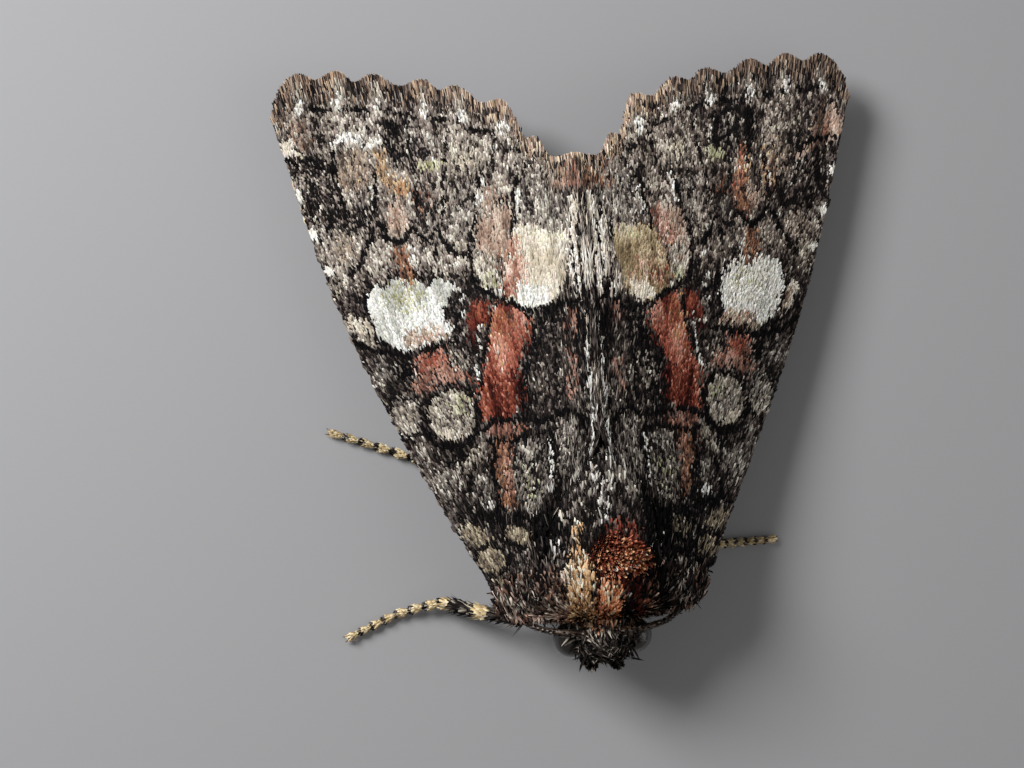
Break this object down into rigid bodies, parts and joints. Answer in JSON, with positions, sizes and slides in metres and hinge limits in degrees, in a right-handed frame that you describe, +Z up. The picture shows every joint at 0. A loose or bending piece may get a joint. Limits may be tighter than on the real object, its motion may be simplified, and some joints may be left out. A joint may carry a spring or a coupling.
{
  "type": "moth",
  "caption": "Life-size museum model of a small mottled owlet moth at rest, its forewings closed over the body like a low roof.",
  "frame": {"origin": "on the plane that the feet stand on, under the middle of the whole model's box", "axes": "+Y runs from the head to the wing tips, +X to the moth's left-hand side as seen from above with the head at the bottom, +Z up"},
  "size_m": [0.0146, 0.0154, 0.0045],
  "materials": {
    "body_scales": "matt overlapping scales and hair, dark grey-brown with tan and red-brown tufts",
    "forewing_scales": "matt overlapping scales in grey, black, cream and rust marks",
    "hindwing_scales": "matt plain grey-brown scales",
    "leg_scales": "matt dark scales with cream rings",
    "antenna": "satin brown ringed with scales",
    "eye": "glossy dark facets"
  },
  "bodies": {
    "root": {"thorax": "body_scales", "abdomen": "body_scales", "head": "body_scales", "palp_left": "body_scales", "palp_right": "body_scales", "eye_left": "eye", "eye_right": "eye", "antenna_left": "antenna", "antenna_right": "antenna", "forewing_left": "forewing_scales", "forewing_right": "forewing_scales", "hindwing_left": "hindwing_scales", "hindwing_right": "hindwing_scales", "foreleg_left": "leg_scales", "foreleg_right": "leg_scales", "midleg_left": "leg_scales", "midleg_right": "leg_scales", "hindleg_left": "leg_scales", "hindleg_right": "leg_scales"}
  },
  "joints": []
}
